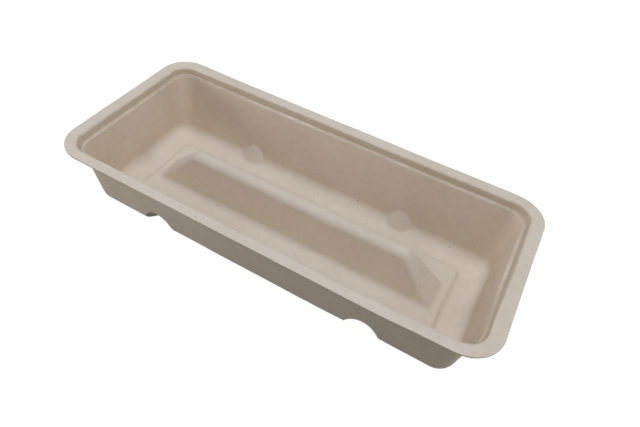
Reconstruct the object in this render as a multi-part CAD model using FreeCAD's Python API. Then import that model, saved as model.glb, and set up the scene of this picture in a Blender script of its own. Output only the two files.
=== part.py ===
import FreeCAD, Part
import math
import os

# Bagasse food tray: one thin shell pressed from plant-fibre pulp.
# The top surface and the underside are two matching forms, one wall thickness apart.
# Millimetres, +Z up, X along the tray, origin under the middle of the foot ring.

TRAY_LENGTH = 224.0
TRAY_WIDTH = 105.0
TRAY_HEIGHT = 39.5
WALL = 0.8

# flat flange round the opening
FLANGE_CORNER_RADIUS = 16.3
FLANGE_INNER_ROUNDING = 2.3
FLANGE_UNDER_CHAMFER = 1.1

# lid seat: a small step all round, just inside the flange
SEAT_INSET = 6.0
SEAT_FOOT_INSET = 7.3
SEAT_DEPTH = 3.7
SEAT_UNDER_CHAMFER = 0.7
SEAT_FOOT_CHAMFER = 0.3
LIP_INSET = 8.6
LIP_ROUNDING = 1.1

# food well below the lid seat
FLOOR_HALF_LENGTH = 100.6
FLOOR_HALF_WIDTH = 37.3
WELL_CORNER_ROUNDING = 8.2
FLOOR_ROUNDING = 6.5

# raised panel inside the foot ring
PANEL_RISE = 2.2
PANEL_HALF_LENGTH = 88.5
PANEL_HALF_WIDTH = 26.8
PANEL_SLOPE_RUN = 2.4
PANEL_CORNER_RADIUS = 5.0
PANEL_ROUNDING = 2.4

# middle rib, which stands a little nearer to the far wall
RIB_OFFSET = 1.0
RIB_HEIGHT = 21.1
RIB_BASE_HALF_LENGTH = 82.8
RIB_BASE_HALF_WIDTH = 10.5
RIB_TOP_HALF_LENGTH = 61.9
RIB_TOP_HALF_WIDTH = 3.4
RIB_CREST_ROUNDING = 4.6
RIB_END_ROUNDING = 3.3
RIB_BASE_ROUNDING = 4.0

# leaning lugs at the foot of the long walls, which stop stacked trays from jamming together;
# each is a round bar, with its turn about Z and its lean from upright in degrees
FAR_LUG = {"offset": 47.7, "turn": 0, "radius": 13.0, "reach": 4.0, "lean": 30.5, "rounding": 2.2}
NEAR_LUG = {"offset": 58.8, "turn": 180, "radius": 11.7, "reach": 8.8, "lean": 42.5, "rounding": 1.5}
LUG_LENGTH = 24.0

FLOOR_TOP = WALL
PANEL_TOP = FLOOR_TOP + PANEL_RISE
SEAT_TOP = TRAY_HEIGHT - SEAT_DEPTH
WELL_DEPTH = SEAT_TOP - FLOOR_TOP
LIP_HALF_LENGTH = TRAY_LENGTH / 2 - LIP_INSET
LIP_HALF_WIDTH = TRAY_WIDTH / 2 - LIP_INSET
FLANGE_CENTRE_X = TRAY_LENGTH / 2 - FLANGE_CORNER_RADIUS
FLANGE_CENTRE_Y = TRAY_WIDTH / 2 - FLANGE_CORNER_RADIUS
CORNERS = ((-1, -1), (1, -1), (1, 1), (-1, 1))
OVERRUN = 5.0
UNDERCUT = 3.0
LUG_OVERRUN = 20.0
TINY = 0.001
NEAR = 0.01


def spread(grow, run, rise):
    """Sideways shift of a drafted wall when it is moved outward along its normal."""
    return grow * math.hypot(run, rise) / rise


def flat_sided_block(half_sizes, low, high):
    """Solid with four flat drafted sides; half_sizes gives half length and half width for a height."""
    rings = []
    for level in (low, high):
        x, y = half_sizes(level)
        rings.append([FreeCAD.Vector(sx * x, sy * y, level) for sx, sy in CORNERS])
    bottom, top = rings
    loops = []
    for i in range(4):
        j = (i + 1) % 4
        loops.append([bottom[i], bottom[j], top[j], top[i]])
    loops.extend(rings)
    shell = Part.makeShell([Part.Face(Part.makePolygon(loop + loop[:1])) for loop in loops])
    shell.sewShape()
    return Part.makeSolid(shell)


def slanted_edges(shape):
    """Edges that climb."""
    return [e for e in shape.Edges if e.BoundBox.ZLength > TINY]


def level_edges(shape, level):
    """Edges lying in one horizontal plane."""
    return [
        e for e in shape.Edges
        if abs(e.BoundBox.ZMin - level) < TINY and abs(e.BoundBox.ZMax - level) < TINY
    ]


def lies_on(edge, solid):
    """Whether the middle of the edge is on the solid's surface."""
    middle = edge.valueAt((edge.FirstParameter + edge.LastParameter) / 2)
    return solid.Shells[0].distToShape(Part.Vertex(middle))[0] < NEAR


def shared_edges(shape, level, solid):
    """Level edges that also lie on the surface of the given solid."""
    return [e for e in level_edges(shape, level) if lies_on(e, solid)]


def round_cornered_block(half_sizes, centre_x, centre_y, low, high):
    """Solid with one draft all round; its corners are cones on fixed centres."""
    x_low, y_low = half_sizes(low)
    x_high, y_high = half_sizes(high)
    point = FreeCAD.Vector
    along = [point(-centre_x, -y_low, low), point(-centre_x, y_low, low)]
    along += [point(-centre_x, y_high, high), point(-centre_x, -y_high, high)]
    across = [point(-x_low, -centre_y, low), point(x_low, -centre_y, low)]
    across += [point(x_high, -centre_y, high), point(-x_high, -centre_y, high)]
    bar_x = Part.Face(Part.makePolygon(along + along[:1])).extrude(point(2 * centre_x, 0, 0))
    bar_y = Part.Face(Part.makePolygon(across + across[:1])).extrude(point(0, 2 * centre_y, 0))
    cones = []
    for sx, sy in CORNERS:
        foot = point(sx * centre_x, sy * centre_y, low)
        cones.append(Part.makeCone(x_low - centre_x, x_high - centre_x, high - low, foot))
    return bar_x.fuse([bar_y] + cones).removeSplitter().Solids[0]


def well_block(grow):
    """Food well below the lid seat, its walls moved outward by grow."""
    run_x = LIP_HALF_LENGTH - FLOOR_HALF_LENGTH
    run_y = LIP_HALF_WIDTH - FLOOR_HALF_WIDTH

    def half_sizes(level):
        share = (level - FLOOR_TOP) / WELL_DEPTH
        half_length = FLOOR_HALF_LENGTH + share * run_x + spread(grow, run_x, WELL_DEPTH)
        half_width = FLOOR_HALF_WIDTH + share * run_y + spread(grow, run_y, WELL_DEPTH)
        return half_length, half_width

    block = flat_sided_block(half_sizes, FLOOR_TOP - grow, SEAT_TOP - grow)
    block = block.makeFillet(WELL_CORNER_ROUNDING + grow, slanted_edges(block))
    return block.makeFillet(FLOOR_ROUNDING + grow, level_edges(block, FLOOR_TOP - grow))


def seat_block(grow, high):
    """Lid seat just inside the flange, its walls moved outward by grow."""
    run = SEAT_FOOT_INSET - SEAT_INSET

    def half_sizes(level):
        inset = SEAT_FOOT_INSET - run * (level - SEAT_TOP) / SEAT_DEPTH - spread(grow, run, SEAT_DEPTH)
        return TRAY_LENGTH / 2 - inset, TRAY_WIDTH / 2 - inset

    return round_cornered_block(half_sizes, FLANGE_CENTRE_X, FLANGE_CENTRE_Y, SEAT_TOP - grow, high)


def panel_block(shrink):
    """Raised panel with a sloping edge, moved inward by shrink."""

    def half_sizes(level):
        share = (level - FLOOR_TOP) / PANEL_RISE
        inset = share * PANEL_SLOPE_RUN + spread(shrink, PANEL_SLOPE_RUN, PANEL_RISE)
        return PANEL_HALF_LENGTH - inset, PANEL_HALF_WIDTH - inset

    centre_x = PANEL_HALF_LENGTH - PANEL_CORNER_RADIUS
    centre_y = PANEL_HALF_WIDTH - PANEL_CORNER_RADIUS
    return round_cornered_block(half_sizes, centre_x, centre_y, FLOOR_TOP - UNDERCUT, PANEL_TOP - shrink)


def rib_block(shrink):
    """Middle rib: a long ridge with a round crest and sloping ends, moved inward by shrink."""
    run_x = RIB_BASE_HALF_LENGTH - RIB_TOP_HALF_LENGTH
    run_y = RIB_BASE_HALF_WIDTH - RIB_TOP_HALF_WIDTH

    def half_sizes(level):
        share = (level - PANEL_TOP) / RIB_HEIGHT
        half_length = RIB_BASE_HALF_LENGTH - share * run_x - spread(shrink, run_x, RIB_HEIGHT)
        half_width = RIB_BASE_HALF_WIDTH - share * run_y - spread(shrink, run_y, RIB_HEIGHT)
        return half_length, half_width

    high = PANEL_TOP + RIB_HEIGHT - shrink
    block = flat_sided_block(half_sizes, FLOOR_TOP - UNDERCUT, high)
    crest_edges = [e for e in level_edges(block, high) if e.BoundBox.XLength > e.BoundBox.YLength]
    block = block.makeFillet(RIB_CREST_ROUNDING - shrink, crest_edges)
    short = [e for e in block.Edges if e.BoundBox.XLength < RIB_TOP_HALF_LENGTH]
    ends = [e for e in short if e.BoundBox.ZMax > FLOOR_TOP]
    block = block.makeFillet(RIB_END_ROUNDING - shrink, ends)
    block.translate(FreeCAD.Vector(0, RIB_OFFSET, 0))
    return block


def lug_bar(lug, end, grow):
    """Round bar leaning on the foot of a long wall and out through it, thinner by grow."""
    angle = math.radians(lug["lean"])
    lean = FreeCAD.Vector(0, math.sin(angle), math.cos(angle))
    across = FreeCAD.Vector(0, lean.z, -lean.y)
    front = FreeCAD.Vector(end * lug["offset"], FLOOR_HALF_WIDTH - lug["reach"], FLOOR_TOP)
    foot = front + across * lug["radius"]
    length = LUG_OVERRUN + LUG_LENGTH
    bar = Part.makeCylinder(lug["radius"] - grow, length, foot - lean * LUG_OVERRUN, lean)
    return bar.rotate(FreeCAD.Vector(0, 0, 0), FreeCAD.Vector(0, 0, 1), lug["turn"])


def pressed_form(grow, seat):
    """Space inside the tray with the given seat; grown by the wall thickness it is the tray's outside."""
    form = well_block(grow)
    for end in (-1, 1):
        for lug in (FAR_LUG, NEAR_LUG):
            bar = lug_bar(lug, end, grow)
            pressed = form.cut(bar).Solids[0]
            if not grow:
                outline = [e for e in pressed.Edges if lies_on(e, bar) and lies_on(e, form)]
                pressed = pressed.makeFillet(lug["rounding"], outline)
            form = pressed
    return form.fuse(seat).removeSplitter().Solids[0]


def press_panel_and_rib(form, grow):
    """Raise the floor of the form into a panel with a rib along it."""
    for block in (panel_block(grow), rib_block(grow)):
        form = form.cut(block).removeSplitter().Solids[0]
    return form


def blend_top(form):
    """Soft edges that the food side has and the underside goes without."""
    plateau = panel_block(0)
    rib = rib_block(0)
    form = form.makeFillet(LIP_ROUNDING, shared_edges(form, SEAT_TOP, well_block(0)))
    form = form.makeFillet(PANEL_ROUNDING, shared_edges(form, FLOOR_TOP, plateau))
    form = form.makeFillet(RIB_BASE_ROUNDING, shared_edges(form, PANEL_TOP, rib))
    rim = [e for e in shared_edges(form, PANEL_TOP, plateau) if rib.distToShape(e)[0] > RIB_BASE_ROUNDING]
    return form.makeFillet(PANEL_ROUNDING, rim)


under_flange = TRAY_HEIGHT - WALL
flange_corner = FreeCAD.Vector(-TRAY_LENGTH / 2, -TRAY_WIDTH / 2, under_flange)
flange = Part.makeBox(TRAY_LENGTH, TRAY_WIDTH, WALL, flange_corner)
flange = flange.makeFillet(FLANGE_CORNER_RADIUS, slanted_edges(flange))

under_seat = seat_block(WALL, TRAY_HEIGHT - WALL / 2)
under_seat = under_seat.makeChamfer(SEAT_UNDER_CHAMFER, level_edges(under_seat, SEAT_TOP - WALL))
outside = press_panel_and_rib(pressed_form(WALL, under_seat), WALL)
body = flange.fuse(outside).removeSplitter().Solids[0]
body = body.makeChamfer(FLANGE_UNDER_CHAMFER, shared_edges(body, under_flange, outside))
seat = seat_block(0, TRAY_HEIGHT + OVERRUN)
seat = seat.makeChamfer(SEAT_FOOT_CHAMFER, level_edges(seat, SEAT_TOP))
inside = blend_top(press_panel_and_rib(pressed_form(0, seat), 0))
tray = body.cut(inside).removeSplitter().Solids[0]
tray = tray.makeFillet(FLANGE_INNER_ROUNDING, shared_edges(tray, TRAY_HEIGHT, inside))

os.makedirs("parts", exist_ok=True)
tray.exportStep("parts/tray.step")
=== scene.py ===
import math

import bmesh
import bpy
from mathutils import Matrix, Vector, noise


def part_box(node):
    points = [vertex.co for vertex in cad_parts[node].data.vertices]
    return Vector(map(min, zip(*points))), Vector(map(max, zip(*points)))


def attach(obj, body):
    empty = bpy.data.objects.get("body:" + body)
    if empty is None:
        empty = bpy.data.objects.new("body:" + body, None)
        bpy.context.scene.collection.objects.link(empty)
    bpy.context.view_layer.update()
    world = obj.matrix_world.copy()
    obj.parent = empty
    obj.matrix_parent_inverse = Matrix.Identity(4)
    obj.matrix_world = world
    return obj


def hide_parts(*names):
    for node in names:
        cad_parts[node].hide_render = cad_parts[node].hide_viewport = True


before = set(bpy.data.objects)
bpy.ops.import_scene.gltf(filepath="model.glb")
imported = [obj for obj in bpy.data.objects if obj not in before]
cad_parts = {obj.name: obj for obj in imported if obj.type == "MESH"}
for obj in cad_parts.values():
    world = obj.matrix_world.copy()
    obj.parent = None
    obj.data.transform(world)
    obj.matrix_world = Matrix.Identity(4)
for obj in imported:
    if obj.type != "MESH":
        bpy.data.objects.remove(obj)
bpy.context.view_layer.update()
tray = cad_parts["tray"]

# ---------------------------------------------------------------- camera (metres, degrees, lens in mm)
CAMERA_PLACE = (0.0761, -0.1805, 0.2119)
CAMERA_TURN = 25.97
CAMERA_TILT = 41.03
CAMERA_ROLL = 6.69
CAMERA_LENS = 29.73
CAMERA_SHIFT_X = 0.0792
CAMERA_SHIFT_Y = 0.0479
CAMERA_CLIP_START = 0.01
SENSOR_WIDTH = 36.0

# ---------------------------------------------------------------- pulp look (linear colours, metres)
PULP_LIGHT = (0.648, 0.585, 0.524)
PULP_DARK = (0.604, 0.540, 0.475)
# painted shade colour: the warmer brown given to steep faces
STEEP_SHADE_TINT = (1.09, 1.03, 0.945)
# painted shade: the darkening given to the lid seat's groove
SEAT_SHADE_TINT = (0.74, 0.705, 0.645)
SPECK_COLOUR = (0.12, 0.085, 0.055)
PALE_FIBRE = (0.74, 0.69, 0.62)
DARK_FIBRE = (0.47, 0.39, 0.31)
CLOUD_SHARE = 0.6
MOTTLE_SHARE = 0.4
DARK_BELOW = 0.36
LIGHT_ABOVE = 0.64
ROUGHNESS = 0.9
SPECULAR_LEVEL = 0.25
BUMP_STRENGTH = 0.25
BUMP_DISTANCE = 0.00015
SEAT_GRAIN_GAIN = 2.0

# limits on the upward part of a face's normal, which is 1 on level faces and 0 on upright ones
STEEP_FROM = 0.55
STEEP_FULL = 0.25
TILTED_FROM = 0.998
TILTED_FULL = 0.985

# heights between which the lid seat lies, and how its edges fade and wander
SEAT_LOW = 0.0356
SEAT_HIGH = 0.0389
SEAT_BLUR = 0.0004
SEAT_EDGE_WANDER = 0.001

# depths below SEAT_HIGH at which a level face begins to count as seat, and counts in full
SUNK_FROM = 0.0003
SUNK_FULL = 0.0007

# noises of the pulp: cells per metre, detail, roughness
CLOUDS = (28.0, 3.0, 0.5)
MOTTLE = (260.0, 3.0, 0.6)
SEAT_EDGE = (300.0, 2.0, 0.5)
FINE_GRAIN = (700.0, 3.0, 0.5)
FINEST_GRAIN = (2400.0, 2.0, 0.5)
SEAT_GRAIN = (900.0, 1.0, 0.5)
NOISE_MIDDLE = 0.5

FIBRES = (
    # colour, cells per metre, seed
    (PALE_FIBRE, 180.0, 3.1),
    (DARK_FIBRE, 150.0, 7.7),
)

# a fibre lies where its noise is this near to the middle value; patches say where fibres show at all
FIBRE_EDGE = 0.012
FIBRE_CORE = 0.002
FIBRE_PATCH_SCALE = 0.9
FIBRE_PATCH_FROM = 0.56
FIBRE_PATCH_FULL = 0.62
FIBRE_STRENGTH = 0.35

# specks: cells per metre; how much finer the noise that roughens their outline is, and how far it shifts it;
# edge and core as parts of a cell; a cell's random value from which it has a speck, and has a full one
SPECK_SCALE = 175.0
SPECK_OUTLINE_FINER = 12.0
SPECK_OUTLINE_SHIFT = 0.0008
SPECK_EDGE = 0.08
SPECK_CORE = 0.04
SPECK_PICK_FROM = 0.2
SPECK_PICK_FULL = 1.0

# ---------------------------------------------------------------- unevenness of the moulding, in metres
CELL = 0.004
MERGE_DISTANCE = 1e-6
WAVES = (
    # waves per metre, depth
    (28.0, 0.00022),
    (90.0, 0.00010),
)
NOISE_REGIONS = ((0.0, 0.0, 0.0), (31.7, 5.3, 17.9), (7.1, 47.3, 23.9))
RAISED_CORNERS = (
    # side in x, side in y, shift of the rim's corner
    (1, -1, (0.0, 0.0004, 0.0010)),
    (-1, 1, (0.0, 0.0002, 0.0005)),
)
CORNER_LENGTH = 0.060
CORNER_WIDTH = 0.050
BENT_FROM_HEIGHT = 0.006
SHARP_ANGLE = 35.0

# ---------------------------------------------------------------- lights (metres, watts)
WHITE = (1.0, 1.0, 1.0)
WORLD_LEVEL = 0.14
BACKDROP_LEVEL = 1.0
FLOOR_SIZE = 6.0
FLOOR_GLOW = 0.93
FLOOR_SHADING = 0.30
FLOOR_BOUNCE = 0.04
FLOOR_FILL = 0.115
LAMPS = [
    # name, place, size, power
    ("overhead_lamp", (0.0, 0.0, 3.0), 0.9, 48.0),
    ("back_lamp", (0.0, 1.27, 2.72), 0.9, 1.6),
    ("front_lamp", (0.0, -1.86, 1.67), 1.0, 3.7),
    ("right_lamp", (1.93, 0.0, 0.52), 1.2, 11.2),
    ("left_lamp", (-1.93, 0.0, 0.52), 1.2, 7.8),
    ("low_back_lamp", (0.0, 1.75, 0.25), 1.0, 3.0),
    ("near_left_lamp", (-0.33, -0.28, 0.08), 0.12, 0.45),
]


class Nodes:
    """Short way to wire shader nodes."""

    def __init__(self, tree):
        self.tree = tree
        tree.nodes.clear()

    def add(self, kind, settings=None, **inputs):
        node = self.tree.nodes.new(kind)
        for key, value in (settings or {}).items():
            setattr(node, key, value)
        for key, value in inputs.items():
            self.put(node, key.replace("_", " "), value)
        return node

    def put(self, node, key, value):
        if isinstance(value, bpy.types.NodeSocket):
            self.tree.links.new(value, node.inputs[key])
        else:
            node.inputs[key].default_value = value

    def math(self, operation, a, b=None):
        node = self.tree.nodes.new("ShaderNodeMath")
        node.operation = operation
        self.put(node, 0, a)
        if b is not None:
            self.put(node, 1, b)
        return node.outputs[0]

    def mix(self, factor, a, b, blend="MIX"):
        """Mix two colours. The Mix node's colours are its inputs 6 and 7 and its output 2."""
        node = self.tree.nodes.new("ShaderNodeMix")
        node.data_type = "RGBA"
        node.blend_type = blend
        self.put(node, 0, factor)
        self.put(node, 6, a)
        self.put(node, 7, b)
        return node.outputs[2]

    def step(self, value, low, high):
        node = self.tree.nodes.new("ShaderNodeMapRange")
        node.interpolation_type = "SMOOTHSTEP"
        self.put(node, "Value", value)
        node.inputs["From Min"].default_value = low
        node.inputs["From Max"].default_value = high
        return node.outputs[0]

    def noise(self, vector, scale, detail, roughness=0.5):
        node = self.add("ShaderNodeTexNoise", Vector=vector, Scale=scale)
        self.put(node, "Detail", detail)
        self.put(node, "Roughness", roughness)
        return node.outputs[0]

    def tint(self, factor, colour, tint):
        return self.mix(factor, colour, self.mix(1.0, colour, solid(tint), "MULTIPLY"))

    def strands(self, place, scale, seed):
        """Short thin curved lines: where one noise crosses its middle value, cut up by another."""
        shifted = self.add("ShaderNodeMapping", Vector=place, Location=(seed, seed, seed)).outputs[0]
        line = self.noise(shifted, scale, detail=1.0)
        line = self.math("ABSOLUTE", self.math("SUBTRACT", line, NOISE_MIDDLE))
        line = self.step(line, FIBRE_EDGE, FIBRE_CORE)
        patch = self.noise(shifted, scale * FIBRE_PATCH_SCALE, detail=0.0)
        patch = self.step(patch, FIBRE_PATCH_FROM, FIBRE_PATCH_FULL)
        return self.math("MULTIPLY", self.math("MULTIPLY", line, patch), FIBRE_STRENGTH)

    def specks(self, place, scale):
        """Scattered dots of uneven outline, each of its own strength."""
        rough = self.add("ShaderNodeTexNoise", Vector=place, Scale=scale * SPECK_OUTLINE_FINER)
        shift = self.add("ShaderNodeVectorMath", {"operation": "SCALE"}, Scale=SPECK_OUTLINE_SHIFT)
        self.put(shift, 0, rough.outputs["Color"])
        moved = self.add("ShaderNodeVectorMath", {"operation": "ADD"})
        self.put(moved, 0, place)
        self.put(moved, 1, shift.outputs[0])
        cells = self.add("ShaderNodeTexVoronoi", Vector=moved.outputs[0], Scale=scale)
        dot = self.step(cells.outputs["Distance"], SPECK_EDGE, SPECK_CORE)
        pick = self.add("ShaderNodeSeparateColor", Color=cells.outputs["Color"]).outputs[0]
        return self.math("MULTIPLY", dot, self.step(pick, SPECK_PICK_FROM, SPECK_PICK_FULL))

    def seen_ray(self):
        """1 for the rays that show a surface in the picture, straight or by reflection or through glass."""
        path = self.add("ShaderNodeLightPath")
        seen = self.math("MAXIMUM", path.outputs["Is Camera Ray"], path.outputs["Is Glossy Ray"])
        return self.math("MAXIMUM", seen, path.outputs["Is Transmission Ray"])

    def choose(self, factor, first, second):
        node = self.tree.nodes.new("ShaderNodeMixShader")
        self.put(node, 0, factor)
        self.put(node, 1, first)
        self.put(node, 2, second)
        return node.outputs[0]


def solid(colour):
    return (colour[0], colour[1], colour[2], 1.0)


def make_pulp():
    material = bpy.data.materials.new("moulded_pulp")
    material.use_nodes = True
    n = Nodes(material.node_tree)
    texture = n.add("ShaderNodeTexCoord")
    place = texture.outputs["Object"]

    # soft mottling of the pulp
    clouds = n.math("MULTIPLY", n.noise(place, *CLOUDS), CLOUD_SHARE)
    mottle = n.math("MULTIPLY", n.noise(place, *MOTTLE), MOTTLE_SHARE)
    tone = n.step(n.math("ADD", clouds, mottle), DARK_BELOW, LIGHT_ABOVE)
    colour = n.mix(tone, solid(PULP_DARK), solid(PULP_LIGHT))

    # painted shade colour: steep faces are tinted a warmer brown than level ones, the colour their shade
    # shows
    upward = n.add("ShaderNodeSeparateXYZ", Vector=texture.outputs["Normal"]).outputs[2]
    steep = n.step(n.math("ABSOLUTE", upward), STEEP_FROM, STEEP_FULL)
    colour = n.tint(steep, colour, STEEP_SHADE_TINT)

    # painted shade: the lid seat's groove is darkened all round, but not the flat flange above it
    height = n.add("ShaderNodeSeparateXYZ", Vector=place).outputs[2]
    uneven = n.math("SUBTRACT", n.noise(place, *SEAT_EDGE), NOISE_MIDDLE)
    uneven = n.math("MULTIPLY", uneven, SEAT_EDGE_WANDER)
    height = n.math("ADD", height, uneven)
    above = n.step(height, SEAT_LOW - SEAT_BLUR, SEAT_LOW + SEAT_BLUR)
    below = n.step(height, SEAT_HIGH + SEAT_BLUR, SEAT_HIGH - SEAT_BLUR)
    sunk = n.step(height, SEAT_HIGH - SUNK_FROM, SEAT_HIGH - SUNK_FULL)
    tilted = n.step(upward, TILTED_FROM, TILTED_FULL)
    seat = n.math("MULTIPLY", n.math("MULTIPLY", above, below), n.math("MAXIMUM", sunk, tilted))
    colour = n.tint(seat, colour, SEAT_SHADE_TINT)

    # single fibres, pale and dark, and a few dark specks
    for fibre, scale, seed in FIBRES:
        colour = n.mix(n.strands(place, scale, seed), colour, solid(fibre))
    colour = n.mix(n.specks(place, SPECK_SCALE), colour, solid(SPECK_COLOUR))

    # grain of the surface, coarser on the lid seat
    grain = n.math("ADD", n.noise(place, *FINE_GRAIN), n.noise(place, *FINEST_GRAIN))
    coarse = n.math("MULTIPLY", n.noise(place, *SEAT_GRAIN), n.math("MULTIPLY", seat, SEAT_GRAIN_GAIN))
    grain = n.math("ADD", grain, coarse)
    bump = n.add("ShaderNodeBump", Height=grain, Strength=BUMP_STRENGTH, Distance=BUMP_DISTANCE)

    shader = n.add("ShaderNodeBsdfPrincipled", Base_Color=colour, Normal=bump.outputs[0])
    shader.inputs["Roughness"].default_value = ROUGHNESS
    shader.inputs["Specular IOR Level"].default_value = SPECULAR_LEVEL
    n.add("ShaderNodeOutputMaterial", Surface=shader.outputs[0])
    return material


def ease(value, low, high):
    part = min(max((value - low) / (high - low), 0.0), 1.0)
    return part * part * (3.0 - 2.0 * part)


def wave_shift(point, waves, depth):
    """A smooth wandering shift. Each axis reads the plain noise in a region of its own."""
    return Vector([noise.noise(point * waves + Vector(region)) for region in NOISE_REGIONS]) * depth


def corner_shift(point, high):
    """How far this point is lifted, and moved to the far side, near a raised corner of the rim."""
    total = Vector()
    bent = ease(point.z, BENT_FROM_HEIGHT, high.z)
    for side_x, side_y, shift in RAISED_CORNERS:
        along = ease(point.x * side_x, high.x - CORNER_LENGTH, high.x)
        across = ease(point.y * side_y, high.y - CORNER_WIDTH, high.y)
        total += Vector(shift) * (along * across * bent)
    return total


def make_tray():
    """The same shell as the CAD node, in small cells, made slightly uneven and with two raised corners."""
    low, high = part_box("tray")
    shell = bmesh.new()
    shell.from_mesh(tray.data)
    bmesh.ops.remove_doubles(shell, verts=shell.verts, dist=MERGE_DISTANCE)
    for axis in range(3):
        across = Vector([float(axis == k) for k in range(3)])
        for k in range(1, math.ceil((high[axis] - low[axis]) / CELL)):
            everything = shell.verts[:] + shell.edges[:] + shell.faces[:]
            cut = across * (low[axis] + k * CELL)
            bmesh.ops.bisect_plane(
                shell, geom=everything, dist=MERGE_DISTANCE, plane_co=cut, plane_no=across)
    for vertex in shell.verts:
        place = vertex.co.copy()
        for waves, depth in WAVES:
            vertex.co += wave_shift(place, waves, depth)
        vertex.co += corner_shift(place, high)
        vertex.co.z = max(vertex.co.z, low.z)
    bmesh.ops.triangulate(shell, faces=shell.faces[:])
    mesh = bpy.data.meshes.new("pressed_tray")
    shell.to_mesh(mesh)
    shell.free()
    if "custom_normal" in mesh.attributes:
        mesh.attributes.remove(mesh.attributes["custom_normal"])
    mesh.shade_smooth()
    mesh.set_sharp_from_angle(angle=math.radians(SHARP_ANGLE))
    mesh.materials.append(make_pulp())
    piece = bpy.data.objects.new("pressed_tray", mesh)
    bpy.context.scene.collection.objects.link(piece)
    even = piece.modifiers.new("even_shading", "WEIGHTED_NORMAL")
    even.keep_sharp = True
    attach(piece, "root")
    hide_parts("tray")


def make_floor():
    """White where it is seen. To the tray it is nearly black, with a weak even glow for fill light."""
    bpy.ops.mesh.primitive_plane_add(size=FLOOR_SIZE, location=(0.0, 0.0, 0.0))
    floor = bpy.context.object
    floor.name = "studio_floor"
    material = bpy.data.materials.new("white_floor")
    material.use_nodes = True
    n = Nodes(material.node_tree)
    shades = []
    for shade, strength in ((FLOOR_BOUNCE, FLOOR_FILL), (FLOOR_SHADING, FLOOR_GLOW)):
        plain = n.add("ShaderNodeBsdfDiffuse", Color=solid([shade] * 3))
        glow = n.add("ShaderNodeEmission", Color=solid(WHITE), Strength=strength)
        both = n.tree.nodes.new("ShaderNodeAddShader")
        n.put(both, 0, plain.outputs[0])
        n.put(both, 1, glow.outputs[0])
        shades.append(both.outputs[0])
    n.add("ShaderNodeOutputMaterial", Surface=n.choose(n.seen_ray(), *shades))
    floor.data.materials.append(material)


def make_world():
    """White where it is seen, and a dim even sky to the tray."""
    world = bpy.data.worlds.new("studio")
    bpy.context.scene.world = world
    world.use_nodes = True
    n = Nodes(world.node_tree)
    sky = n.add("ShaderNodeBackground", Color=solid(WHITE), Strength=WORLD_LEVEL)
    backdrop = n.add("ShaderNodeBackground", Color=solid(WHITE), Strength=BACKDROP_LEVEL)
    n.add("ShaderNodeOutputWorld", Surface=n.choose(n.seen_ray(), sky.outputs[0], backdrop.outputs[0]))


def make_lamp(name, place, size, power):
    data = bpy.data.lights.new(name, "AREA")
    data.shape = "DISK"
    data.size = size
    data.energy = power
    lamp = bpy.data.objects.new(name, data)
    bpy.context.scene.collection.objects.link(lamp)
    lamp.location = place
    lamp.rotation_euler = Vector(place).to_track_quat("Z", "Y").to_euler()
    lamp.visible_camera = False


def make_camera():
    data = bpy.data.cameras.new("camera")
    data.lens = CAMERA_LENS
    data.sensor_width = SENSOR_WIDTH
    data.shift_x = CAMERA_SHIFT_X
    data.shift_y = CAMERA_SHIFT_Y
    data.clip_start = CAMERA_CLIP_START
    camera = bpy.data.objects.new("camera", data)
    bpy.context.scene.collection.objects.link(camera)
    turn = Matrix.Rotation(math.radians(CAMERA_TURN), 4, "Z")
    tilt = Matrix.Rotation(math.radians(CAMERA_TILT), 4, "X")
    roll = Matrix.Rotation(math.radians(CAMERA_ROLL), 4, "Z")
    camera.matrix_world = Matrix.Translation(CAMERA_PLACE) @ turn @ tilt @ roll
    bpy.context.scene.camera = camera


make_camera()
make_world()
make_floor()
for lamp in LAMPS:
    make_lamp(*lamp)

make_tray()

bpy.context.scene.view_settings.view_transform = "Standard"
